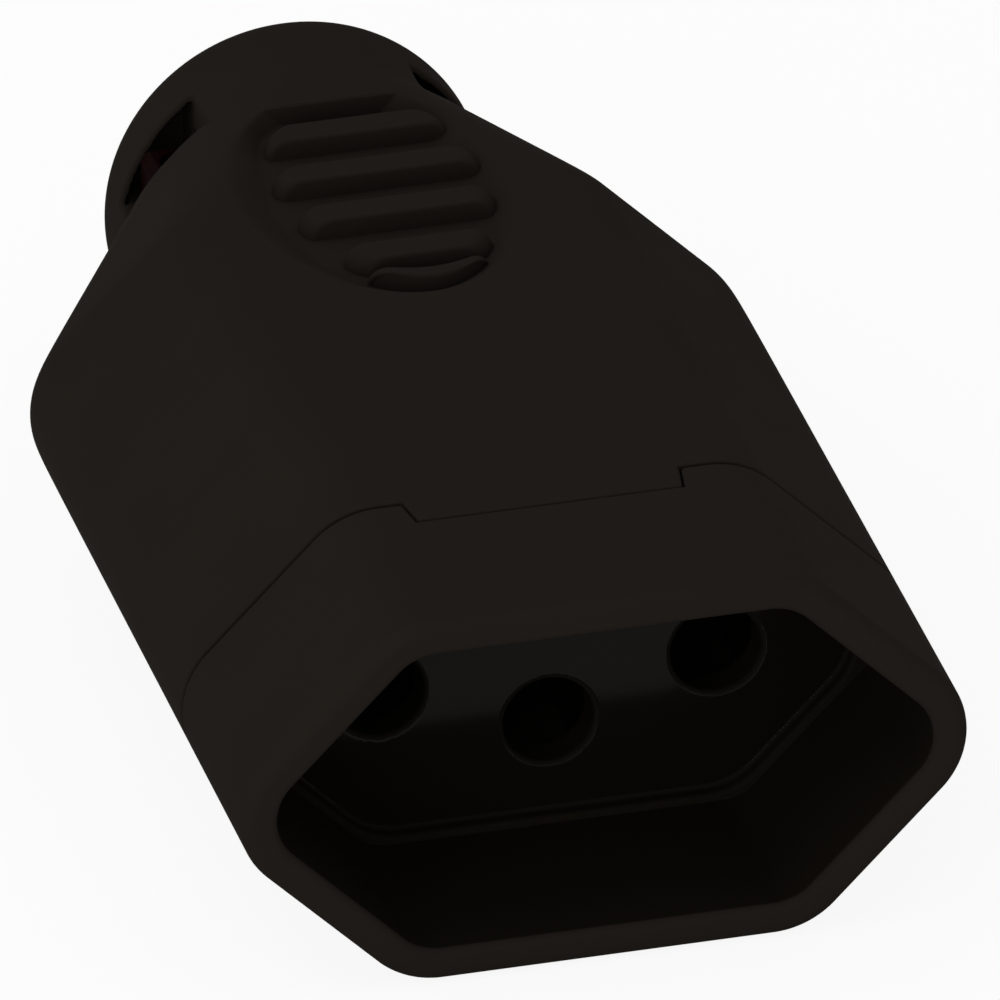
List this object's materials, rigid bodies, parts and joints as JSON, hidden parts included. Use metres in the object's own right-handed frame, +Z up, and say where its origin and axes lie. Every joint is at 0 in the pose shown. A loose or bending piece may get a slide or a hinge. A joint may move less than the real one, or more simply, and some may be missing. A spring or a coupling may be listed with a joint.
{
  "type": "in-line socket",
  "caption": "Rewirable in-line mains socket: hexagonal recess with round pin holes, black moulded housing tapering to a round cable neck with clamp windows and a ribbed thumb grip.",
  "frame": {"origin": "on the flat underside, below the middle of the body's length and width", "axes": "+Y from the mating rim to the cable entry, +Z up to the side with the thumb grip, X across the two pole holes"},
  "size_m": [0.0408, 0.0744, 0.0222],
  "materials": {
    "housing": "fine matte moulded black",
    "front": "fine matte moulded black",
    "insulator": "plain moulded, inside",
    "fibre": "red vulcanised fibre",
    "contacts": "plain rolled strip",
    "plates": "zinc plated",
    "screws": "zinc plated"
  },
  "bodies": {
    "root": {"rear_housing": "housing", "socket_front": "front", "contact_retainer": "insulator", "retainer_screw": "screws", "cord_clamp_bar": "fibre", "clamp_screw_left": "screws", "clamp_screw_right": "screws", "line_contact": "contacts", "line_wire_plate": "plates", "line_terminal_screw": "screws", "earth_contact": "contacts", "earth_wire_plate": "plates", "earth_terminal_screw": "screws", "neutral_contact": "contacts", "neutral_wire_plate": "plates", "neutral_terminal_screw": "screws"}
  },
  "joints": []
}
